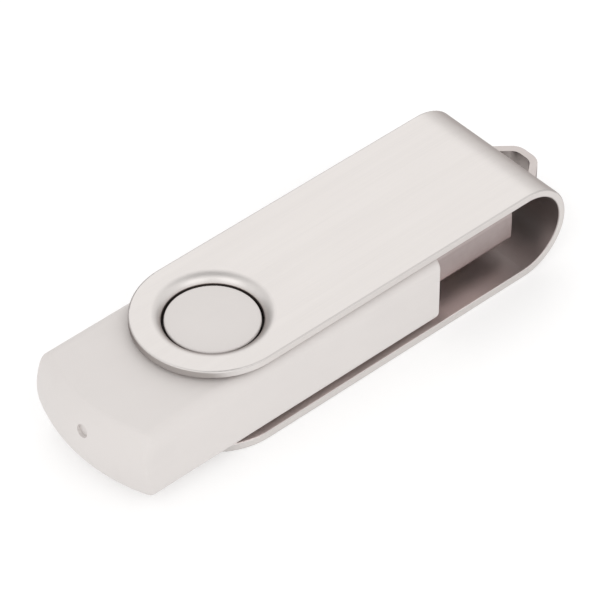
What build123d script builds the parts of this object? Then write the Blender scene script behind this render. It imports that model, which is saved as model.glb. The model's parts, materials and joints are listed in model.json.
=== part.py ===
from build123d import *
import os
from math import sqrt

# A swivel USB flash drive, in millimetres. A folded aluminium clip turns on round bosses of a plastic
# body that holds a USB-A plug and its board. +X runs from the body's rounded tail to the clip's bend,
# +Y across the width, +Z up. The origin is at the bottom centre of the whole drive's box.
# Lengths below are from the pivot axis along X, heights are from the drive's mid-plane.

# ---- Clip: one folded sheet ----
clip_width = 17.5
clip_height = 11.7
sheet = 1.0
bend_reach = 36.8                # pivot axis to the axis of the bend
bend_thinning = 0.15             # sheet lost at the outermost line of the bend
sheet_round = 0.17               # rolled edge of the sheet

# ---- Pivot: each plate's dished hole turns on a boss of the body ----
hole_radius = 5.37
dish_radius = 6.63               # where the plate's flat face starts to dip
dish_depth = 0.86                # how far the hole's outer edge lies below the flat face
lip_depth = 1.68                 # how far the innermost point of the dished lip lies below that face
lip_foot_radius = 5.9
lip_heel_radius = 6.75
lip_round = 0.12
boss_radius = 5.08
boss_recess = 0.8                # boss top below the plate's flat face
boss_round = 0.18
groove_radius = 6.8
groove_depth = 0.87              # below the body's face, deep enough for the lip to turn in

# ---- Lanyard loop: a strip of the bend, cut free along both sides and pushed out ----
loop_reach = 45.65
loop_height = 2.4
loop_sheet = 0.85
loop_flat = 2.95                 # width of the loop's far side, before its corners are rounded
loop_outer_round = 1.9
loop_inner_round = 1.3
loop_leg_slope = 1.2             # length run per width lost, along each leg

# ---- Body: two moulded shells ----
body_width = 17.6
body_height = 8.94
body_tail = 18.5
body_nose = 24.2
side_round = 1.5
tail_arc = 21.8                  # plan radius of the convex tail
tail_roll = 2.1                  # how far the tail's face rolls back towards its top and bottom
tail_roll_overrun = 1.04         # the roll is an ellipse this much taller than the body
tail_crease = 0.8
nose_round = 0.3
wall = 1.2
floor_wall = 1.17
core_radius = 3.9                # hollow under each boss
core_roof = 1.0
lip_width = 0.5                  # step that lines up the two shells
lip_height = 0.5
lip_gap = 0.05
post_radius = 1.1
post_pin_radius = 0.6
post_pin_length = 1.4
post_socket_radius = 0.65
post_socket_depth = 1.6
post_spots = [(-13.2, 6.6), (-13.2, -6.6), (11.0, 6.6), (11.0, -6.6)]
rail_width = 1.05
rail_length = 4.0
rail_starts = [-11.4, 4.0]
cradle_start = 20.2
cradle_thickness = 1.0
plug_gap = 0.05
pad_ring_radius = 7.8            # thickens the wall under each groove
pad_ring_height = 0.7
led_dimple_radius = 0.75         # the LED shines through the floor of this blind dimple
led_dimple_depth = 0.5
led_dimple_spot = (-0.85, 1.5)

# ---- USB-A plug ----
plug_width = 12.0
plug_height = 4.5
plug_sheet = 0.3
plug_tip = 37.4
plug_rear = 18.8
plug_drop = 0.5                  # plug axis below the mid-plane
plug_corner = 0.8
plug_seam = 0.1
plug_lip_round = 0.12
window_length = 2.4
window_width = 2.3
window_from_tip = 5.2
window_spread = 5.8
insulator_gap = 0.05
tongue_thickness = 1.79
tongue_from_tip = 0.7
tongue_lead_in = 0.25
plug_well = 11.9                 # depth of the space that takes the socket's tongue
rear_cover_length = 1.95
insulator_corner = 0.5
contact_width = 1.0
contact_thickness = 0.25
contact_proud = 0.15
contact_end = 16.9
power_contact_tip = 36.0
data_contact_tip = 35.0
contact_step_start = 18.75
contact_step_end = 18.35
power_y = 3.5
data_y = 1.0
tab_back = 15.9
tab_leg = 1.4
tab_top = 0.95
tab_neck = 0.8
tab_foot = -1.5

# ---- Board and what it carries ----
board_thickness = 1.0            # its top face lies on the mid-plane
board_front = 18.2
board_back = -15.2
board_width = 14.0
board_corner = 1.0
board_notch = 1.3
tab_slot = (1.6, 0.5)
pad_thickness = 0.04
pad_length = 1.9
pad_width = 1.3
pad_centre = 17.2
solder_toe = 0.6
solder_slot = (2.6, 1.3)
solder_height = 0.45
solder_taper = 30

lead_thickness = 0.15
flash_spot = (-1.2, 0.0)
flash_size = (18.4, 12.0, 1.0)
flash_leads = 24
fine_pitch = 0.5
fine_lead_width = 0.22
controller_spot = (1.2, 0.0)
controller_size = (7.0, 7.0, 1.4)
controller_leads_per_side = 12
chip_standoff = 0.1
chip_chamfer = 0.12
pin_mark_radius = 0.5
pin_mark_depth = 0.08
pin_mark_inset = 1.1
flash_lead_reach = 0.8
controller_lead_reach = 1.0
lead_shoulder = 0.3              # share of a lead's reach before it bends down
lead_foot = 0.42                 # share of its reach that lies on the board

regulator_spot = (12.6, 2.5)
regulator_size = (2.9, 1.3, 1.0)
regulator_lead_width = 0.4
regulator_lead_reach = 0.55
regulator_pitch = 1.9

crystal_spot = (12.4, -2.4)
crystal_size = (3.2, 2.5, 0.5)
crystal_lid_size = (2.8, 2.1, 0.25)
crystal_corner = 0.3
crystal_lid_round = 0.08

led_spot = (-14.3, -0.85)
led_base_size = (0.8, 1.6, 0.4)
led_lens_size = (0.8, 1.2, 0.7)
led_lens_round = 0.2

resistor_size = (0.7, 0.5, 0.35)
resistor_cap = (0.15, 0.54, 0.39)
resistor_spots = [(9.8, 1.5), (9.8, 0.0), (9.8, -1.5), (-13.0, 2.2), (-13.0, -2.2)]
capacitor_size = (1.0, 0.8, 0.75)
capacitor_cap = (0.3, 0.86, 0.81)
capacitor_spots = [(8.6, 4.2), (8.6, -4.2), (9.4, 0.0), (-5.6, 3.2), (-5.6, -3.2)]

# ---- Worked out from the dimensions above ----
pivot_x = (body_tail - loop_reach) / 2
mid_z = clip_height / 2
plate_top = clip_height / 2
plate_under = plate_top - sheet
outer_bend = clip_height / 2
inner_bend = outer_bend - sheet
boss_top = plate_top - boss_recess
lip_bottom = plate_top - lip_depth
body_half = body_height / 2
groove_floor = body_half - groove_depth
cavity_half_height = body_half - floor_wall
cavity_half_width = body_width / 2 - wall
tail_centre = tail_arc - body_tail
board_under = -board_thickness
plug_base = -plug_drop - plug_height / 2
plug_roof = -plug_drop + plug_height / 2
tongue_top = plug_roof - plug_sheet - insulator_gap
tongue_under = tongue_top - tongue_thickness
well_floor = plug_tip - plug_well
insulator_rear = plug_rear + insulator_gap
insulator_width = plug_width - 2 * plug_sheet - 2 * insulator_gap
insulator_height = plug_height - 2 * plug_sheet - 2 * insulator_gap
contact_mid = tongue_under - contact_proud + contact_thickness / 2
lead_mid = pad_thickness + contact_thickness / 2


def level(height):
    """Horizontal plane with its origin on the pivot axis."""
    return Plane(origin=(pivot_x, 0, mid_z + height))


def section(across):
    """Upright plane along the drive: its x is the distance from the pivot, its y is the height."""
    return Plane(origin=(pivot_x, across, mid_z), x_dir=(1, 0, 0), z_dir=(0, -1, 0))


def station(along):
    """Upright plane across the drive, facing the bend: its x is +Y, its y is the height."""
    return Plane(origin=(pivot_x + along, 0, mid_z), x_dir=(0, 1, 0), z_dir=(1, 0, 0))


def board_face(spot, underside=False):
    """Plane on the board's top or underside, at a spot given from the pivot."""
    height = board_under if underside else 0
    facing = -1 if underside else 1
    origin = (pivot_x + spot[0], spot[1], mid_z + height)
    return Plane(origin=origin, x_dir=(1, 0, 0), z_dir=(0, 0, facing))


def gull_wing(reach, height, width):
    """One bent lead, from the package's wall at x = 0, z = height to its foot on the board at z = 0."""
    shoulder = reach * lead_shoulder
    heel = reach * (1 - lead_foot)
    half = lead_thickness / 2
    with BuildPart() as lead:
        with BuildSketch(Plane.XZ):
            with BuildLine():
                Polyline(
                    (0, height + half), (shoulder + half, height + half), (heel + half, lead_thickness),
                    (reach, lead_thickness), (reach, 0), (heel - half, 0),
                    (shoulder - half, height - half), (0, height - half), close=True,
                )
            make_face()
        extrude(amount=width / 2, both=True)
    return lead.part


def chip_package(size):
    """Moulded package standing just off the board, with bevelled edges and a round pin mark."""
    length, width, height = size
    roof = chip_standoff + height
    with BuildPart() as package:
        with BuildSketch(Plane.XY.offset(chip_standoff)):
            Rectangle(length, width)
        extrude(amount=height)
        chamfer(package.edges(), chip_chamfer)
        with BuildSketch(Plane.XY.offset(roof)):
            with Locations((pin_mark_inset - length / 2, pin_mark_inset - width / 2)):
                Circle(pin_mark_radius)
        extrude(amount=-pin_mark_depth, mode=Mode.SUBTRACT)
    return package.part


def save(piece, name):
    """Label one finished piece and write it as its own STEP file."""
    piece.label = name
    export_step(piece, f"parts/{name}.step")


os.makedirs("parts", exist_ok=True)

# ---- Swivel clip ----
clip_half = clip_width / 2
plate_overrun = 1.2 * clip_half  # the blank reaches past the round end that is cut from it
dish_patch = dish_radius + sheet
loop_apex = loop_reach + loop_leg_slope * loop_flat / 2      # where the legs would meet
loop_inner_reach = loop_reach - loop_sheet
loop_inner_apex = loop_apex - loop_sheet * sqrt(1 + loop_leg_slope**2)
loop_root = bend_reach + (outer_bend + inner_bend) / 2
window_root = bend_reach + inner_bend - sheet


def loop_outline(reach, apex, root, corner_round):
    """Plan of the lanyard loop's outside or inside: a trapezium on the bend, with sloping legs."""
    root_half = (apex - root) / loop_leg_slope
    reach_half = (apex - reach) / loop_leg_slope
    with BuildSketch() as outline:
        with BuildLine():
            Polyline(
                (root, root_half), (reach, reach_half), (reach, -reach_half), (root, -root_half),
                close=True,
            )
        make_face()
        fillet(outline.vertices().group_by(Axis.X)[-1], corner_round)
    return outline.sketch


def lip_outline(side):
    """Radial cut through a plate's dished rim, upper plate for side 1 and lower plate for side -1."""
    dish_start = (dish_radius, side * plate_top)
    hole_edge = (hole_radius, side * (plate_top - dish_depth))
    with BuildSketch() as outline:
        with BuildLine():
            Line((dish_patch, side * plate_top), dish_start)
            TangentArc(dish_start, hole_edge, tangent=(-1, 0))
            Polyline(
                hole_edge, (hole_radius, side * (lip_bottom + lip_round)),
                (hole_radius + lip_round, side * lip_bottom), (lip_foot_radius, side * lip_bottom),
                (lip_heel_radius, side * plate_under), (dish_patch, side * plate_under),
                (dish_patch, side * plate_top),
            )
        make_face()
        fillet(outline.vertices().sort_by_distance((*hole_edge, 0))[0], lip_round)
    return outline.sketch


with BuildPart() as swivel_clip:
    with BuildSketch(section(0)):
        with BuildLine():
            Polyline(
                (bend_reach, plate_top), (-plate_overrun, plate_top),
                (-plate_overrun, plate_under), (bend_reach, plate_under),
            )
            EllipticalCenterArc(
                (bend_reach, 0), inner_bend + bend_thinning, inner_bend, -90, arc_size=180
            )
            Polyline(
                (bend_reach, -plate_under), (-plate_overrun, -plate_under),
                (-plate_overrun, -plate_top), (bend_reach, -plate_top),
            )
            ThreePointArc(
                (bend_reach, -plate_top), (bend_reach + outer_bend, 0), (bend_reach, plate_top)
            )
        make_face()
    extrude(amount=clip_half, both=True)
    with BuildSketch(level(-plate_top)):
        Circle(clip_half)
        Rectangle(loop_reach, clip_width, align=(Align.MIN, Align.CENTER))
    extrude(amount=clip_height, mode=Mode.INTERSECT)
    rim = swivel_clip.edges().filter_by(Axis.Y, reverse=True).filter_by(Axis.Z, reverse=True)
    fillet(rim, sheet_round)

    # Dished holes: the flat patch round each hole gives way to a ring formed inwards.
    with BuildSketch(level(-plate_top)):
        Circle(dish_patch)
    extrude(amount=clip_height, mode=Mode.SUBTRACT)
    for side in (1, -1):
        with BuildSketch(section(0)):
            add(lip_outline(side))
        revolve(axis=Axis((pivot_x, 0, 0), (0, 0, 1)))

    # Lanyard loop and the window that its strip leaves in the bend.
    with BuildSketch(level(-loop_height / 2)):
        add(loop_outline(loop_reach, loop_apex, loop_root, loop_outer_round))
    extrude(amount=loop_height)
    with BuildSketch(level(-loop_height / 2)):
        add(loop_outline(loop_inner_reach, loop_inner_apex, window_root, loop_inner_round))
    extrude(amount=loop_height, mode=Mode.SUBTRACT)
save(swivel_clip.part, "swivel_clip")

# ---- Body: the closed outer form, its hollow, and the two shells cut from them ----
roll_centre = tail_arc - tail_roll
roll_height = body_half * tail_roll_overrun
cavity_arc = tail_arc - wall - tail_roll / 3
cavity_corner_x = tail_centre - sqrt(cavity_arc**2 - cavity_half_width**2)

with BuildPart() as tail_form:
    with BuildSketch(station(tail_centre)):
        with BuildLine():
            Line((0, -roll_height), (roll_centre, -roll_height))
            EllipticalCenterArc((roll_centre, 0), tail_roll, roll_height, -90, arc_size=180)
            Polyline((roll_centre, roll_height), (0, roll_height), (0, -roll_height))
        make_face()
    revolve(axis=Axis((pivot_x + tail_centre, 0, 0), (0, 0, 1)))
    with BuildSketch(station(tail_centre)):
        Rectangle(2 * tail_arc, 2 * roll_height)
    extrude(amount=2 * tail_arc)

with BuildPart() as body_form:
    with BuildSketch(station(-body_tail)):
        RectangleRounded(body_width, body_height, side_round)
    extrude(amount=body_tail + body_nose)
    add(tail_form.part, mode=Mode.INTERSECT)
    fillet(body_form.faces().sort_by(Axis.X)[0].edges(), tail_crease)
    fillet(body_form.faces().sort_by(Axis.X)[-1].edges(), nose_round)
    for side in (1, -1):
        with BuildSketch(level(side * groove_floor)):
            Circle(groove_radius)
        extrude(amount=side * (plate_top - groove_floor), mode=Mode.SUBTRACT)
        with BuildSketch(level(side * groove_floor)):
            Circle(boss_radius)
        extrude(amount=side * (boss_top - groove_floor))
    boss_rims = body_form.edges().filter_by(GeomType.CIRCLE).group_by(Axis.Z)
    fillet(boss_rims[0] + boss_rims[-1], boss_round)

with BuildSketch() as cavity_plan:
    with BuildLine():
        Polyline(
            (cavity_corner_x, -cavity_half_width), (body_nose - wall, -cavity_half_width),
            (body_nose - wall, cavity_half_width), (cavity_corner_x, cavity_half_width),
        )
        ThreePointArc(
            (cavity_corner_x, cavity_half_width), (tail_centre - cavity_arc, 0),
            (cavity_corner_x, -cavity_half_width),
        )
    make_face()

with BuildPart() as body_blank:
    add(body_form.part)
    with BuildSketch(level(0)):
        add(cavity_plan.sketch)
    extrude(amount=cavity_half_height, both=True, mode=Mode.SUBTRACT)
    with BuildSketch(level(0)):
        Circle(core_radius)
    extrude(amount=boss_top - core_roof, both=True, mode=Mode.SUBTRACT)

with BuildPart() as shell_openings:
    with BuildSketch(station(cradle_start)):
        with Locations((0, -plug_drop)):
            RectangleRounded(plug_width + 2 * plug_gap, plug_height + 2 * plug_gap, plug_corner)
    extrude(amount=body_nose - cradle_start)
    with BuildSketch(station(-body_tail)):
        with Locations(led_dimple_spot):
            Circle(led_dimple_radius)
    extrude(amount=led_dimple_depth)


def shell_ribs(side):
    """Pad ring, posts, board rails and plug cradle inside the upper (side 1) or lower (side -1) shell."""
    board_side = 0 if side > 0 else board_under
    rail_middle = cavity_half_width - rail_width / 2
    with BuildPart() as ribs:
        with BuildSketch(station(cradle_start)):
            with Locations((0, side * cavity_half_height / 2)):
                Rectangle(2 * cavity_half_width, cavity_half_height)
        extrude(amount=cradle_thickness)
        with BuildSketch(level(side * (cavity_half_height - pad_ring_height))):
            Circle(pad_ring_radius)
            Circle(core_radius, mode=Mode.SUBTRACT)
        extrude(amount=side * pad_ring_height)
        with BuildSketch(level(0)):
            with Locations(*post_spots):
                Circle(post_radius)
        extrude(amount=side * cavity_half_height)
        with BuildSketch(level(board_side)):
            for start in rail_starts:
                for across in (rail_middle, -rail_middle):
                    with Locations((start + rail_length / 2, across)):
                        Rectangle(rail_length, rail_width)
        extrude(amount=side * cavity_half_height - board_side)
    return ribs.part


with BuildPart() as upper_shell:
    add(body_blank.part)
    split(bisect_by=level(0), keep=Keep.TOP)
    add(shell_ribs(1))
    with BuildSketch(level(0)):
        add(cavity_plan.sketch)
        offset(amount=lip_width + lip_gap, kind=Kind.INTERSECTION)
        with BuildSketch(mode=Mode.PRIVATE) as lip_inside:
            add(cavity_plan.sketch)
            offset(amount=-lip_gap, kind=Kind.INTERSECTION)
        add(lip_inside.sketch, mode=Mode.SUBTRACT)
    extrude(amount=lip_height + lip_gap, mode=Mode.SUBTRACT)
    with BuildSketch(level(0)):
        with Locations(*post_spots):
            Circle(post_pin_radius)
    extrude(amount=-post_pin_length)
    add(shell_openings.part, mode=Mode.SUBTRACT)
save(upper_shell.part, "upper_shell")

with BuildPart() as lower_shell:
    add(body_blank.part)
    split(bisect_by=level(0), keep=Keep.BOTTOM)
    add(shell_ribs(-1))
    with BuildSketch(level(0)):
        add(cavity_plan.sketch)
        offset(amount=lip_width, kind=Kind.INTERSECTION)
        add(cavity_plan.sketch, mode=Mode.SUBTRACT)
    extrude(amount=lip_height)
    with BuildSketch(level(0)):
        with Locations(*post_spots):
            Circle(post_socket_radius)
    extrude(amount=-post_socket_depth, mode=Mode.SUBTRACT)
    add(shell_openings.part, mode=Mode.SUBTRACT)
save(lower_shell.part, "lower_shell")

# ---- USB-A plug ----
shell_inner_width = plug_width - 2 * plug_sheet
shell_inner_height = plug_height - 2 * plug_sheet
tab_across = plug_width / 2 - plug_sheet

with BuildPart() as plug_shell:
    with BuildSketch(station(plug_rear)):
        with Locations((0, -plug_drop)):
            RectangleRounded(plug_width, plug_height, plug_corner)
            RectangleRounded(
                shell_inner_width, shell_inner_height, plug_corner - plug_sheet, mode=Mode.SUBTRACT
            )
    extrude(amount=plug_tip - plug_rear)
    fillet(plug_shell.faces().sort_by(Axis.X)[-1].outer_wire().edges(), plug_lip_round)
    with BuildSketch(level(plug_base - plug_sheet)):
        with Locations((plug_tip - window_from_tip, 0)):
            with GridLocations(0, window_spread, 1, 2):
                Rectangle(window_length, window_width)
    extrude(amount=plug_height + 2 * plug_sheet, mode=Mode.SUBTRACT)
    with BuildSketch(level(plug_base - plug_sheet)):
        with Locations((plug_rear, 0)):
            Rectangle(plug_tip - plug_rear, plug_seam, align=(Align.MIN, Align.CENTER))
    extrude(amount=2 * plug_sheet, mode=Mode.SUBTRACT)
    for across in (-tab_across - plug_sheet, tab_across):
        with BuildSketch(section(across + plug_sheet)):
            with BuildLine():
                Polyline(
                    (plug_rear, tab_top), (tab_back, tab_top), (tab_back, tab_foot),
                    (tab_back + tab_leg, tab_foot), (tab_back + tab_leg, tab_top - tab_neck),
                    (plug_rear, tab_top - tab_neck), close=True,
                )
            make_face()
        extrude(amount=plug_sheet)
save(plug_shell.part, "plug_shell")


def contact_form(across, tip):
    """One spring contact: flat under the tongue, stepped up behind it to lie on the board."""
    half = contact_thickness / 2
    with BuildPart() as contact:
        with BuildSketch(section(across)):
            with BuildLine():
                Polyline(
                    (tip, contact_mid + half), (contact_step_start, contact_mid + half),
                    (contact_step_end, lead_mid + half), (contact_end, lead_mid + half),
                    (contact_end, lead_mid - half), (contact_step_end - half, lead_mid - half),
                    (contact_step_start - half, contact_mid - half), (tip, contact_mid - half),
                    close=True,
                )
            make_face()
        extrude(amount=contact_width / 2, both=True)
    return contact.part


contacts = {
    "power_contact": contact_form(power_y, power_contact_tip),
    "data_minus_contact": contact_form(data_y, data_contact_tip),
    "data_plus_contact": contact_form(-data_y, data_contact_tip),
    "ground_contact": contact_form(-power_y, power_contact_tip),
}
for contact_name, contact_part in contacts.items():
    save(contact_part, contact_name)

with BuildPart() as plug_insulator:
    with BuildSketch(station(insulator_rear + rear_cover_length)):
        with Locations((0, -plug_drop)):
            RectangleRounded(insulator_width, insulator_height, insulator_corner)
    extrude(amount=plug_tip - tongue_from_tip - insulator_rear - rear_cover_length)
    with BuildSketch(station(well_floor)):
        with Locations((0, tongue_under)):
            Rectangle(plug_width, plug_height, align=(Align.CENTER, Align.MAX))
    extrude(amount=plug_well, mode=Mode.SUBTRACT)
    tongue_nose = plug_insulator.faces().sort_by(Axis.X)[-1].edges()
    chamfer(tongue_nose, tongue_lead_in)
    for contact_part in contacts.values():
        add(contact_part, mode=Mode.SUBTRACT)
save(plug_insulator.part, "plug_insulator")

with BuildPart() as plug_rear_cover:
    with BuildSketch(station(insulator_rear)):
        with Locations((0, -plug_drop)):
            RectangleRounded(insulator_width, insulator_height, insulator_corner)
    extrude(amount=rear_cover_length)
    for contact_part in contacts.values():
        add(contact_part, mode=Mode.SUBTRACT)
save(plug_rear_cover.part, "plug_rear_cover")

# ---- Circuit board with its pads and solder ----
with BuildPart() as circuit_board:
    with BuildSketch(level(board_under)) as board_plan:
        with Locations((board_back, 0)):
            Rectangle(board_front - board_back, board_width, align=(Align.MIN, Align.CENTER))
        fillet(board_plan.vertices().group_by(Axis.X)[0], board_corner)
        with Locations(*post_spots):
            Circle(board_notch, mode=Mode.SUBTRACT)
        with Locations((tab_back + tab_leg / 2, 0)):
            with GridLocations(0, plug_width - plug_sheet, 1, 2):
                Rectangle(*tab_slot, mode=Mode.SUBTRACT)
    extrude(amount=board_thickness)
save(circuit_board.part, "circuit_board")

contact_rows = (power_y, data_y, -data_y, -power_y)
with BuildPart() as contact_pads:
    with BuildSketch(level(0)):
        for across in contact_rows:
            with Locations((pad_centre, across)):
                Rectangle(pad_length, pad_width)
    extrude(amount=pad_thickness)
save(contact_pads.part, "contact_pads")

with BuildPart() as contact_solder_joints:
    for across in contact_rows:
        with BuildSketch(section(across)):
            with BuildLine():
                Polyline(
                    (contact_end, pad_thickness), (contact_end, pad_thickness + contact_thickness),
                    (contact_end - solder_toe, pad_thickness), close=True,
                )
            make_face()
        extrude(amount=contact_width / 2, both=True)
save(contact_solder_joints.part, "contact_solder_joints")

with BuildPart() as shell_solder_joints:
    with BuildSketch(level(board_under)):
        with Locations((tab_back + tab_leg / 2, 0)):
            with GridLocations(0, plug_width - plug_sheet, 1, 2):
                SlotOverall(solder_slot[0], solder_slot[1])
    extrude(amount=-solder_height, taper=solder_taper)
    add(plug_shell.part, mode=Mode.SUBTRACT)
save(shell_solder_joints.part, "shell_solder_joints")

# ---- Flash memory, on the board's top ----
flash_lead = gull_wing(flash_lead_reach, chip_standoff + flash_size[2] / 2, fine_lead_width)
with BuildPart(board_face(flash_spot)) as flash_memory_chip:
    add(chip_package(flash_size))
save(flash_memory_chip.part, "flash_memory_chip")

with BuildPart(board_face(flash_spot)) as flash_memory_leads:
    with PolarLocations(flash_size[0] / 2, 2):
        with GridLocations(0, fine_pitch, 1, flash_leads):
            add(flash_lead)
save(flash_memory_leads.part, "flash_memory_leads")

# ---- Controller, on the board's underside ----
controller_plane = board_face(controller_spot, underside=True)
controller_lead = gull_wing(
    controller_lead_reach, chip_standoff + controller_size[2] / 2, fine_lead_width
)
with BuildPart(controller_plane) as controller_chip:
    add(chip_package(controller_size))
save(controller_chip.part, "controller_chip")

with BuildPart(controller_plane) as controller_leads:
    with PolarLocations(controller_size[0] / 2, 4):
        with GridLocations(0, fine_pitch, 1, controller_leads_per_side):
            add(controller_lead)
save(controller_leads.part, "controller_leads")

# ---- Voltage regulator ----
regulator_lead = gull_wing(
    regulator_lead_reach, chip_standoff + regulator_size[2] / 2, regulator_lead_width
)
with BuildPart(board_face(regulator_spot)) as voltage_regulator:
    with BuildSketch(board_face(regulator_spot).offset(chip_standoff)):
        Rectangle(regulator_size[0], regulator_size[1])
    extrude(amount=regulator_size[2])
    chamfer(voltage_regulator.edges(), chip_chamfer)
save(voltage_regulator.part, "voltage_regulator")

with BuildPart(board_face(regulator_spot)) as voltage_regulator_leads:
    regulator_half = regulator_size[1] / 2
    lead_places = (
        Location((0, regulator_half, 0), (0, 0, 90)),
        Location((regulator_pitch / 2, -regulator_half, 0), (0, 0, -90)),
        Location((-regulator_pitch / 2, -regulator_half, 0), (0, 0, -90)),
    )
    with Locations(*lead_places):
        add(regulator_lead)
save(voltage_regulator_leads.part, "voltage_regulator_leads")

# ---- Crystal ----
with BuildPart(board_face(crystal_spot)) as crystal_base:
    Box(*crystal_size, align=(Align.CENTER, Align.CENTER, Align.MIN))
    fillet(crystal_base.edges().filter_by(Axis.Z), crystal_corner)
save(crystal_base.part, "crystal_base")

with BuildPart(board_face(crystal_spot).offset(crystal_size[2])) as crystal_lid:
    Box(*crystal_lid_size, align=(Align.CENTER, Align.CENTER, Align.MIN))
    fillet(crystal_lid.edges().filter_by(Axis.Z), crystal_corner)
    fillet(crystal_lid.faces().sort_by(Axis.Z)[-1].edges(), crystal_lid_round)
save(crystal_lid.part, "crystal_lid")

# ---- Activity light, behind the dimple in the tail ----
with BuildPart(board_face(led_spot)) as activity_led_base:
    Box(*led_base_size, align=(Align.CENTER, Align.CENTER, Align.MIN))
save(activity_led_base.part, "activity_led_base")

with BuildPart(board_face(led_spot).offset(led_base_size[2])) as activity_led_lens:
    Box(*led_lens_size, align=(Align.CENTER, Align.CENTER, Align.MIN))
    fillet(activity_led_lens.faces().sort_by(Axis.Z)[-1].edges(), led_lens_round)
save(activity_led_lens.part, "activity_led_lens")

# ---- Chip resistors on the top, chip capacitors on the underside ----
standing = (Align.CENTER, Align.CENTER, Align.MIN)
board_top = board_face((0, 0))
board_bottom = board_face((0, 0), underside=True)
resistor_cap_x = (resistor_size[0] + resistor_cap[0]) / 2
capacitor_cap_x = (capacitor_size[0] + capacitor_cap[0]) / 2

with BuildPart(board_top) as chip_resistors:
    with Locations(*resistor_spots):
        Box(*resistor_size, align=standing)
save(chip_resistors.part, "chip_resistors")

with BuildPart(board_top) as chip_resistor_terminals:
    with Locations(*resistor_spots):
        with GridLocations(2 * resistor_cap_x, 0, 2, 1):
            Box(*resistor_cap, align=standing)
save(chip_resistor_terminals.part, "chip_resistor_terminals")

with BuildPart(board_bottom) as chip_capacitors:
    with Locations(*capacitor_spots):
        Box(*capacitor_size, align=standing)
save(chip_capacitors.part, "chip_capacitors")

with BuildPart(board_bottom) as chip_capacitor_terminals:
    with Locations(*capacitor_spots):
        with GridLocations(2 * capacitor_cap_x, 0, 2, 1):
            Box(*capacitor_cap, align=standing)
save(chip_capacitor_terminals.part, "chip_capacitor_terminals")
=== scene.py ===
import json
import math

import bpy
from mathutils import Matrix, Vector


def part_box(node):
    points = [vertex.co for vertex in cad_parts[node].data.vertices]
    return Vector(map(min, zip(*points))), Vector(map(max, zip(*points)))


# Looks of the swivel USB flash drive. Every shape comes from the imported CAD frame, so this script adds
# the materials, the floor, the light and the camera. Metres throughout; the frame's origin is at the
# bottom centre of the drive, +X towards the clip's bend, +Y across the width, +Z up.

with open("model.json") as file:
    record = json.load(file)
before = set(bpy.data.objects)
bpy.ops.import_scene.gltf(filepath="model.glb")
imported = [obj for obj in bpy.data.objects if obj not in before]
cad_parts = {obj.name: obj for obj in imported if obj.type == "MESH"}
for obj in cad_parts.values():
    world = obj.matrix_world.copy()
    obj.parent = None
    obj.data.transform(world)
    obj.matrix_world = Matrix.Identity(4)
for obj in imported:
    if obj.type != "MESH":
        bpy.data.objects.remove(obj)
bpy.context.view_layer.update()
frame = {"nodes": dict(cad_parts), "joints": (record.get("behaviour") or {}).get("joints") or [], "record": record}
nodes = frame["nodes"]
MM = 0.001

# ---- Places that the materials need, from the frame and the part's own dimensions ----
pivot = Vector(frame["joints"][0]["pos_m"])
clip_low, clip_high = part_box("swivel_clip")
clip_thickness = clip_high.z - clip_low.z
clip_half_width = clip_high.y
inner_bend = clip_thickness / 2 - 1.0 * MM
body_front_x = pivot.x + 24.5 * MM
bend_axis_x = pivot.x + 36.8 * MM
bend_stretch = 5.0 / 4.85        # the fold's inside is this much longer than it is high
loop_start = clip_thickness / 2 / bend_stretch
hole_radius = 5.37 * MM
boss_radius = 5.08 * MM
boss_top = clip_thickness / 2 - 0.8 * MM
groove_radius = 6.8 * MM


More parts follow.
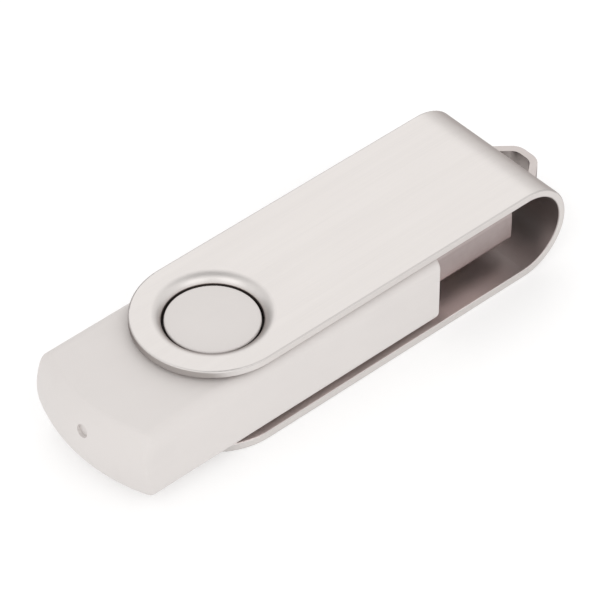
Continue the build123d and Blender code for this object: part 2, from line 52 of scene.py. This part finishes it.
# ---- Building a material ----
class Finish:
    """A Principled shader and the procedural nodes that feed it, in the frame's own coordinates."""

    def __init__(self, slot, colour, roughness, metallic=0.0, **sockets):
        self.material = bpy.data.materials.new(slot)
        self.material.use_nodes = True
        self.tree = self.material.node_tree
        self.shader = self.tree.nodes["Principled BSDF"]
        self.colour = colour
        self.roughness = roughness
        self.set("Base Color", (*colour, 1))
        self.set("Roughness", roughness)
        self.set("Metallic", metallic)
        for name, value in sockets.items():
            self.set(name.replace("_", " "), value)
        coordinates = self.node("ShaderNodeTexCoord")
        self.place = coordinates.outputs["Object"]
        self.facing = coordinates.outputs["Normal"]

    def set(self, name, value):
        """Set one of the shader's own sockets."""
        self.shader.inputs[name].default_value = value

    def node(self, kind, **settings):
        """A new node of this kind, with the settings given."""
        made = self.tree.nodes.new(kind)
        for name, value in settings.items():
            setattr(made, name, value)
        return made

    def feed(self, value, socket):
        """Link an output to a socket, or set the socket when value is a plain number."""
        if isinstance(value, bpy.types.NodeSocket):
            self.tree.links.new(value, socket)
        else:
            socket.default_value = value

    def noise(self, grain, detail=3.0, distortion=0.0):
        """Noise from 0 to 1 whose grain is (x, y, z) metres long along each axis."""
        mapping = self.node("ShaderNodeMapping")
        mapping.inputs["Scale"].default_value = [1 / length for length in grain]
        self.feed(self.place, mapping.inputs["Vector"])
        texture = self.node("ShaderNodeTexNoise", normalize=True)
        texture.inputs["Scale"].default_value = 1.0
        texture.inputs["Detail"].default_value = detail
        texture.inputs["Distortion"].default_value = distortion
        self.feed(mapping.outputs["Vector"], texture.inputs["Vector"])
        return texture.outputs["Fac"]

    def cells(self, size):
        """Distance from the middle of the nearest of many irregular cells, each about size metres wide."""
        texture = self.node("ShaderNodeTexVoronoi")
        texture.inputs["Scale"].default_value = 1 / size
        self.feed(self.place, texture.inputs["Vector"])
        return texture.outputs["Distance"]

    def math(self, operation, first, second=0.0):
        """One arithmetic step on outputs or plain numbers."""
        made = self.node("ShaderNodeMath", operation=operation)
        self.feed(first, made.inputs[0])
        self.feed(second, made.inputs[1])
        return made.outputs[0]

    def remap(self, value, low, high, to_low=0.0, to_high=1.0):
        """The value, with low to high stretched to the range to_low to to_high and clamped there."""
        made = self.node("ShaderNodeMapRange", clamp=True)
        self.feed(value, made.inputs["Value"])
        for name, number in zip(("From Min", "From Max", "To Min", "To Max"), (low, high, to_low, to_high)):
            made.inputs[name].default_value = number
        return made.outputs["Result"]

    def axis(self, name, vector=None):
        """The X, Y or Z coordinate of the shaded point, in metres, or of another vector."""
        split = self.node("ShaderNodeSeparateXYZ")
        self.feed(vector or self.place, split.inputs["Vector"])
        return split.outputs[name]

    def length(self, first, second):
        """Length of the hypotenuse over two coordinates."""
        squares = [self.math("MULTIPLY", side, side) for side in (first, second)]
        return self.math("SQRT", self.math("ADD", *squares))

    def from_pivot(self):
        """Distance from the axis that the clip turns on."""
        return self.length(self.math("SUBTRACT", self.axis("X"), pivot.x), self.axis("Y"))

    def blend(self, share, first, second):
        """The colour first where share is 0, and second where it is 1."""
        made = self.node("ShaderNodeMix", data_type="RGBA")
        self.feed(share, made.inputs["Factor"])
        for value, socket in ((first, made.inputs[6]), (second, made.inputs[7])):
            self.feed(value if isinstance(value, bpy.types.NodeSocket) else (*value, 1), socket)
        return made.outputs[2]

    def vary_colour(self, share, other):
        """Blend the base colour towards another by the given share."""
        self.feed(self.blend(share, self.colour, other), self.shader.inputs["Base Color"])

    def vary_roughness(self, share, other):
        """Blend the roughness towards another by the given share."""
        self.feed(self.remap(share, 0, 1, self.roughness, other), self.shader.inputs["Roughness"])

    def relief(self, height, depth, under=None):
        """Bump of the given depth in metres, on top of an earlier bump."""
        bump = self.node("ShaderNodeBump")
        bump.inputs["Strength"].default_value = 1.0
        bump.inputs["Distance"].default_value = depth
        self.feed(height, bump.inputs["Height"])
        if under is not None:
            self.feed(under, bump.inputs["Normal"])
        self.feed(bump.outputs["Normal"], self.shader.inputs["Normal"])
        return bump.outputs["Normal"]


def shade(colour, factor):
    """The same hue, darker or lighter."""
    return tuple(channel * factor for channel in colour)


# ---- The clip: satin aluminium, brushed along its length outside, a little rougher inside the fold, with painted light and shade on its inner skin, edges and loop ----
def clip_aluminium():
    outer = (0.635, 0.608, 0.592)
    inner = (0.64, 0.565, 0.55)
    painted_gap_shade = (0.45, 0.39, 0.37)
    painted_loop_shade = (0.505, 0.465, 0.45)
    edge_on = (0.37, 0.33, 0.32, 1)       # oxide dulls the sheet where it is seen edge-on
    finish = Finish("clip_aluminium", outer, 0.36, metallic=1.0, Specular_Tint=edge_on)
    fine = finish.noise((9 * MM, 0.09 * MM, 0.09 * MM), detail=4)
    broad = finish.noise((40 * MM, 0.8 * MM, 0.8 * MM), detail=2)
    cloud = finish.noise((9 * MM, 5 * MM, 9 * MM), detail=1)

    # The inner skin of the fold is nearer to the bend's centreline than the outer one.
    past_bend = finish.math("MAXIMUM", finish.math("SUBTRACT", finish.axis("X"), bend_axis_x))
    past_bend = finish.math("DIVIDE", past_bend, bend_stretch)
    height = finish.math("SUBTRACT", finish.axis("Z"), pivot.z)
    from_centre = finish.length(past_bend, height)
    inside = finish.remap(from_centre, inner_bend + 0.02 * MM, inner_bend + 0.10 * MM, 1, 0)
    across = finish.math("ABSOLUTE", finish.axis("Y"))
    off_edge = finish.remap(across, clip_half_width - 0.12 * MM, clip_half_width - 0.03 * MM, 1, 0)
    inside = finish.math("MULTIPLY", inside, off_edge)

    brushed = finish.blend(finish.remap(fine, 0.3, 0.7), shade(outer, 0.955), shade(outer, 1.035))
    brushed = finish.blend(finish.remap(broad, 0.35, 0.65, 0, 0.35), brushed, shade(outer, 1.06))
    brushed = finish.blend(finish.remap(cloud, 0.3, 0.7, 0, 0.25), brushed, shade(outer, 0.97))
    # The inner skin gets painted shade round the bend and painted light beside the plug.
    inner_tone_with_painted_light = finish.blend(finish.remap(cloud, 0.3, 0.7), inner, shade(inner, 0.9))
    inner_tone_with_painted_light = finish.blend(finish.remap(past_bend, 1.0 * MM, 3.0 * MM), inner_tone_with_painted_light, shade(inner, 0.72))
    before_bend = finish.remap(finish.axis("X"), bend_axis_x - 7 * MM, bend_axis_x - 2.5 * MM, 1, 0)
    past_body = finish.remap(finish.axis("X"), body_front_x, body_front_x + 1.5 * MM)
    painted_light_by_plug = finish.math("MULTIPLY", before_bend, past_body)
    # Painted light: the inner skin is made lighter beside the plug.
    inner_tone_with_painted_light = finish.blend(painted_light_by_plug, inner_tone_with_painted_light, shade(inner, 1.35))

    # Cut edges: painted light and shade by which way they face, lighter along the straight sides and darker round
    # the end; painted shade on the rounded rims and on the loop.
    upward = finish.math("ABSOLUTE", finish.axis("Z", finish.facing))
    sideways = finish.math("ABSOLUTE", finish.axis("Y", finish.facing))
    upright = finish.remap(upward, 0.2, 0.5, 1, 0)
    # Painted light and shade: cut edges facing across the clip are lightened, the others darkened.
    painted_edge_light = finish.blend(finish.remap(sideways, 0.75, 0.98), shade(outer, 0.86), shade(outer, 1.14))
    past_dish = finish.remap(finish.from_pivot(), 7 * MM, 8 * MM)
    # Painted reflection: a darker line along the rounded rims of the plate.
    rounded = finish.remap(finish.math("MULTIPLY", upward, sideways), 0.15, 0.35)
    painted_rim_shade = finish.math("MULTIPLY", rounded, past_dish)
    # Painted shade: the loop past the bend is painted darker and warmer.
    on_loop = finish.remap(past_bend, loop_start, loop_start + 0.1 * MM)
    outside = finish.blend(painted_rim_shade, finish.blend(upright, brushed, painted_edge_light), shade(outer, 0.90))
    outside = finish.blend(on_loop, outside, painted_loop_shade)
    tone = finish.blend(inside, outside, inner_tone_with_painted_light)
    # Painted shade: the clip's hole wall round the boss is painted dark for the shade in the narrow gap.
    hole_wall = finish.remap(finish.from_pivot(), hole_radius + 0.01 * MM, hole_radius + 0.04 * MM, 1, 0)
    finish.feed(finish.blend(hole_wall, tone, painted_gap_shade), finish.shader.inputs["Base Color"])

    satin = finish.remap(fine, 0.25, 0.75, 0.31, 0.43)
    rough = finish.math("ADD", satin, finish.math("MULTIPLY", inside, 0.05))
    finish.feed(rough, finish.shader.inputs["Roughness"])
    finish.relief(fine, 0.0012 * MM, under=finish.relief(broad, 0.002 * MM))
    return finish.material


# ---- The body: pale moulded plastic with a fine spark-eroded texture ----
# The grooves that the plates' lips turn in are painted dark, as painted shade in the narrow gap round the boss.
def body_plastic():
    finish = Finish("body_plastic", (0.645, 0.613, 0.597), 0.46, IOR=1.5)
    grain = finish.noise((0.11 * MM,) * 3, detail=3)
    cloud = finish.noise((7 * MM,) * 3, detail=2)
    flow = finish.noise((14 * MM, 1.6 * MM, 2.4 * MM), detail=2, distortion=0.6)
    tone = finish.math("MULTIPLY", finish.remap(cloud, 0.3, 0.7), finish.remap(flow, 0.3, 0.7, 0.4, 1))
    plain = finish.blend(tone, finish.colour, shade(finish.colour, 0.968))
    radius = finish.from_pivot()
    off_middle = finish.math("ABSOLUTE", finish.math("SUBTRACT", finish.axis("Z"), pivot.z))
    past_boss = finish.remap(radius, boss_radius - 0.05 * MM, boss_radius - 0.02 * MM)
    in_groove = finish.remap(radius, groove_radius + 0.02 * MM, groove_radius + 0.05 * MM, 1, 0)
    below_top = finish.remap(off_middle, boss_top - 0.35 * MM, boss_top - 0.15 * MM, 1, 0)
    # Painted shade: dark colour in the groove round the boss, below the body's face.
    painted_gap_shade = finish.math("MULTIPLY", past_boss, finish.math("MULTIPLY", in_groove, below_top))
    gap_shade_colour = (0.07, 0.06, 0.058)
    finish.feed(finish.blend(painted_gap_shade, plain, gap_shade_colour), finish.shader.inputs["Base Color"])
    finish.vary_roughness(finish.remap(grain, 0.3, 0.7), 0.56)
    finish.relief(grain, 0.004 * MM, under=finish.relief(cloud, 0.010 * MM))
    return finish.material


# ---- The plug: nickel-plated sheet steel, drawn lengthwise ----
def plug_steel():
    finish = Finish("plug_steel", (0.41, 0.35, 0.342), 0.28, metallic=1.0)
    drawn = finish.noise((6 * MM, 0.07 * MM, 0.07 * MM), detail=4)
    spots = finish.noise((0.9 * MM,) * 3, detail=4)
    scuffs = finish.noise((2.5 * MM, 0.25 * MM, 0.25 * MM), detail=2, distortion=1.2)
    stained = (0.385, 0.325, 0.315)
    finish.vary_colour(finish.remap(spots, 0.35, 0.8), stained)
    wear = finish.math("MULTIPLY", finish.remap(drawn, 0.3, 0.7), finish.remap(scuffs, 0.3, 0.7))
    finish.vary_roughness(wear, 0.42)
    finish.relief(drawn, 0.0012 * MM)
    return finish.material


def moulded_black(slot, colour, grain, roughness):
    """Black moulded parts differ in grain: fine in the plug's insulator, coarser in filled chip compound."""
    finish = Finish(slot, colour, roughness, IOR=1.5)
    speck = finish.noise((grain,) * 3, detail=3)
    cloud = finish.noise((1.5 * MM,) * 3, detail=2)
    finish.vary_colour(finish.remap(speck, 0.45, 0.8), shade(colour, 2.0))
    finish.vary_roughness(finish.remap(cloud, 0.3, 0.7), roughness - 0.12)
    finish.relief(speck, 0.004 * MM)
    return finish.material


def plated(slot, colour, roughness, run, tarnish):
    """Plated metal with marks that run lengthwise and a little tarnish."""
    finish = Finish(slot, colour, roughness, metallic=1.0)
    marks = finish.noise((run, 0.05 * MM, 0.05 * MM), detail=3)
    patches = finish.noise((0.4 * MM,) * 3, detail=3)
    finish.vary_colour(finish.remap(patches, 0.4, 0.8), tarnish)
    finish.vary_roughness(finish.remap(marks, 0.3, 0.7), roughness + 0.15)
    finish.relief(marks, 0.0012 * MM)
    return finish.material


def speckled(slot, colour, other, grain, roughness):
    """Fired ceramic and glaze: small pale or dark grains under a slightly uneven skin."""
    finish = Finish(slot, colour, roughness)
    speck = finish.noise((grain,) * 3, detail=2)
    finish.vary_colour(finish.remap(speck, 0.5, 0.75), other)
    finish.vary_roughness(finish.remap(speck, 0.3, 0.7), roughness + 0.1)
    finish.relief(speck, 0.003 * MM)
    return finish.material


# ---- The board: green solder mask over copper traces, with plated vias ----
def board_laminate():
    mask = (0.012, 0.115, 0.045)
    mask_over_copper = (0.03, 0.25, 0.10)
    bare_plating = (0.62, 0.50, 0.28)
    finish = Finish("board_laminate", mask, 0.24, Coat_Weight=0.3, Coat_Roughness=0.12)
    traces = finish.node("ShaderNodeTexBrick", offset=0.37, squash=1.6)
    traces.inputs["Scale"].default_value = 1.0
    traces.inputs["Mortar Size"].default_value = 0.085 * MM
    traces.inputs["Mortar Smooth"].default_value = 0.15
    traces.inputs["Brick Width"].default_value = 3.4 * MM
    traces.inputs["Row Height"].default_value = 0.52 * MM
    finish.feed(finish.place, traces.inputs["Vector"])
    copper = traces.outputs["Fac"]
    weave = finish.noise((0.35 * MM, 0.35 * MM, 0.05 * MM), detail=2)
    masked = finish.blend(copper, finish.blend(weave, mask, shade(mask, 0.75)), mask_over_copper)
    vias = finish.remap(finish.cells(1.9 * MM), 0.08, 0.10, 1, 0)
    finish.feed(finish.blend(vias, masked, bare_plating), finish.shader.inputs["Base Color"])
    finish.relief(copper, 0.02 * MM, under=finish.relief(weave, 0.004 * MM))
    return finish.material


# ---- The LED's clear cast lens ----
def led_lens():
    finish = Finish("led_lens", (0.92, 0.90, 0.84), 0.12, IOR=1.5, Transmission_Weight=0.6)
    haze = finish.noise((0.3 * MM,) * 3, detail=3)
    yellowed = (0.80, 0.78, 0.70)
    finish.vary_colour(finish.remap(haze, 0.4, 0.8), yellowed)
    finish.vary_roughness(finish.remap(haze, 0.3, 0.7), 0.25)
    return finish.material


finishes = {
    "clip_aluminium": clip_aluminium(),
    "body_plastic": body_plastic(),
    "plug_steel": plug_steel(),
    "insulator_plastic": moulded_black("insulator_plastic", (0.022, 0.021, 0.021), 0.10 * MM, 0.48),
    "contact_gold": plated("contact_gold", (0.93, 0.66, 0.28), 0.20, 3 * MM, (0.80, 0.52, 0.20)),
    "board_laminate": board_laminate(),
    "chip_moulding": moulded_black("chip_moulding", (0.026, 0.026, 0.028), 0.06 * MM, 0.62),
    "tinned_leads": plated("tinned_leads", (0.76, 0.75, 0.73), 0.30, 0.5 * MM, (0.62, 0.60, 0.56)),
    "solder": plated("solder", (0.72, 0.72, 0.72), 0.16, 0.3 * MM, (0.55, 0.54, 0.52)),
    "crystal_ceramic": speckled("crystal_ceramic", (0.60, 0.56, 0.48), (0.72, 0.69, 0.62), 0.08 * MM, 0.55),
    "crystal_can": plated("crystal_can", (0.72, 0.69, 0.63), 0.24, 1 * MM, (0.62, 0.58, 0.50)),
    "led_lens": led_lens(),
    "resistor_body": speckled("resistor_body", (0.020, 0.020, 0.024), (0.05, 0.05, 0.06), 0.07 * MM, 0.28),
    "capacitor_body": speckled("capacitor_body", (0.33, 0.21, 0.11), (0.42, 0.29, 0.17), 0.06 * MM, 0.42),
}
for subpart in frame["record"]["subparts"]:
    nodes[subpart["node"]].material_slots[0].material = finishes[subpart["material_slot"]]


# ---- Floor: a pale sheet, lit a little from below so that shadows stay faint ----
def pale_floor():
    """Flat sheet under the drive, out to half metres each way."""
    half = 1.6
    mesh = bpy.data.meshes.new("floor")
    corners = [(-half, -half, 0), (half, -half, 0), (half, half, 0), (-half, half, 0)]
    mesh.from_pydata(corners, [], [(0, 1, 2, 3)])
    floor = bpy.data.objects.new("floor", mesh)
    bpy.context.scene.collection.objects.link(floor)
    finish = Finish("floor_sheet", (0.62, 0.62, 0.62), 0.85)
    finish.set("Specular IOR Level", 0.2)
    finish.set("Emission Color", (1, 1, 1, 1))
    finish.set("Emission Strength", 0.40)
    finish.vary_colour(finish.noise((3 * MM,) * 3), (0.625, 0.625, 0.625))
    mesh.materials.append(finish.material)


# ---- Light: a white tent with darker patches, and three large softboxes ----
def ray(azimuth, elevation):
    """Unit vector to a direction: azimuth 0 is -Y and turns towards +X; elevation is above the horizon."""
    turn, rise = math.radians(azimuth), math.radians(elevation)
    return Vector((math.sin(turn) * math.cos(rise), -math.cos(turn) * math.cos(rise), math.sin(rise)))


def tent(radiance, patches):
    """World of one radiance, changed inside round patches: (azimuth, elevation, core, edge, change)."""
    world = bpy.data.worlds.new("tent")
    world.use_nodes = True
    tree = world.node_tree
    direction = tree.nodes.new("ShaderNodeTexCoord").outputs["Generated"]
    total = tree.nodes.new("ShaderNodeValue").outputs[0]
    total.default_value = radiance
    for azimuth, elevation, core, edge, change in patches:
        along = tree.nodes.new("ShaderNodeVectorMath")
        along.operation = "DOT_PRODUCT"
        along.inputs[1].default_value = ray(azimuth, elevation)
        tree.links.new(direction, along.inputs[0])
        patch = tree.nodes.new("ShaderNodeMapRange")
        patch.interpolation_type = "SMOOTHSTEP"
        patch.inputs["From Min"].default_value = math.cos(math.radians(edge))
        patch.inputs["From Max"].default_value = math.cos(math.radians(core))
        patch.inputs["To Max"].default_value = change
        tree.links.new(along.outputs["Value"], patch.inputs["Value"])
        added = tree.nodes.new("ShaderNodeMath")
        tree.links.new(total, added.inputs[0])
        tree.links.new(patch.outputs["Result"], added.inputs[1])
        total = added.outputs[0]
    background = tree.nodes["Background"]
    background.inputs["Color"].default_value = (1.0, 0.992, 0.985, 1)
    tree.links.new(total, background.inputs["Strength"])
    bpy.context.scene.world = world


def softbox(name, azimuth, elevation, distance, width, height, radiance):
    """Rectangular lamp that faces the origin and adds this radiance to the tent behind it."""
    light = bpy.data.lights.new(name, "AREA")
    light.shape = "RECTANGLE"
    light.size, light.size_y = width, height
    light.energy = radiance * 4 * width * height
    lamp = bpy.data.objects.new(name, light)
    lamp.location = ray(azimuth, elevation) * distance
    lamp.rotation_euler = ray(azimuth, elevation).to_track_quat("Z", "Y").to_euler()
    bpy.context.scene.collection.objects.link(lamp)


# ---- Camera ----
view_azimuth, view_elevation = -41.80, 43.30


def camera():
    """Long lens from above the rounded end, looking at a point near the drive's middle."""
    target = Vector((-1.425, 0.064, 5.85)) * MM
    distance = 432.0 * MM
    lens = bpy.data.cameras.new("camera")
    lens.lens = 245.6
    lens.sensor_width = 36.0
    lens.clip_start, lens.clip_end = 0.01, 20
    eye = bpy.data.objects.new("camera", lens)
    back = ray(view_azimuth, view_elevation)
    eye.location = target + back * distance
    eye.rotation_euler = back.to_track_quat("Z", "Y").to_euler()
    bpy.context.scene.collection.objects.link(eye)
    bpy.context.scene.camera = eye


pale_floor()
tent(1.12, [
    (0, 90, 6, 32, -0.55),                       # overhead
    (180, 0, 10, 45, -0.60),                     # beyond the drive, to the left
    (88, 0, 5, 30, -0.45),                       # beyond the drive, to the right
])
softbox("far_softbox", view_azimuth + 180, 42, 0.9, 0.55, 0.45, 0.29)
softbox("left_softbox", view_azimuth - 36, 38, 0.9, 0.6, 0.6, 0.45)
softbox("right_softbox", view_azimuth + 36, 38, 0.9, 0.6, 0.6, 0.45)
camera()
bpy.context.scene.view_settings.view_transform = "Standard"
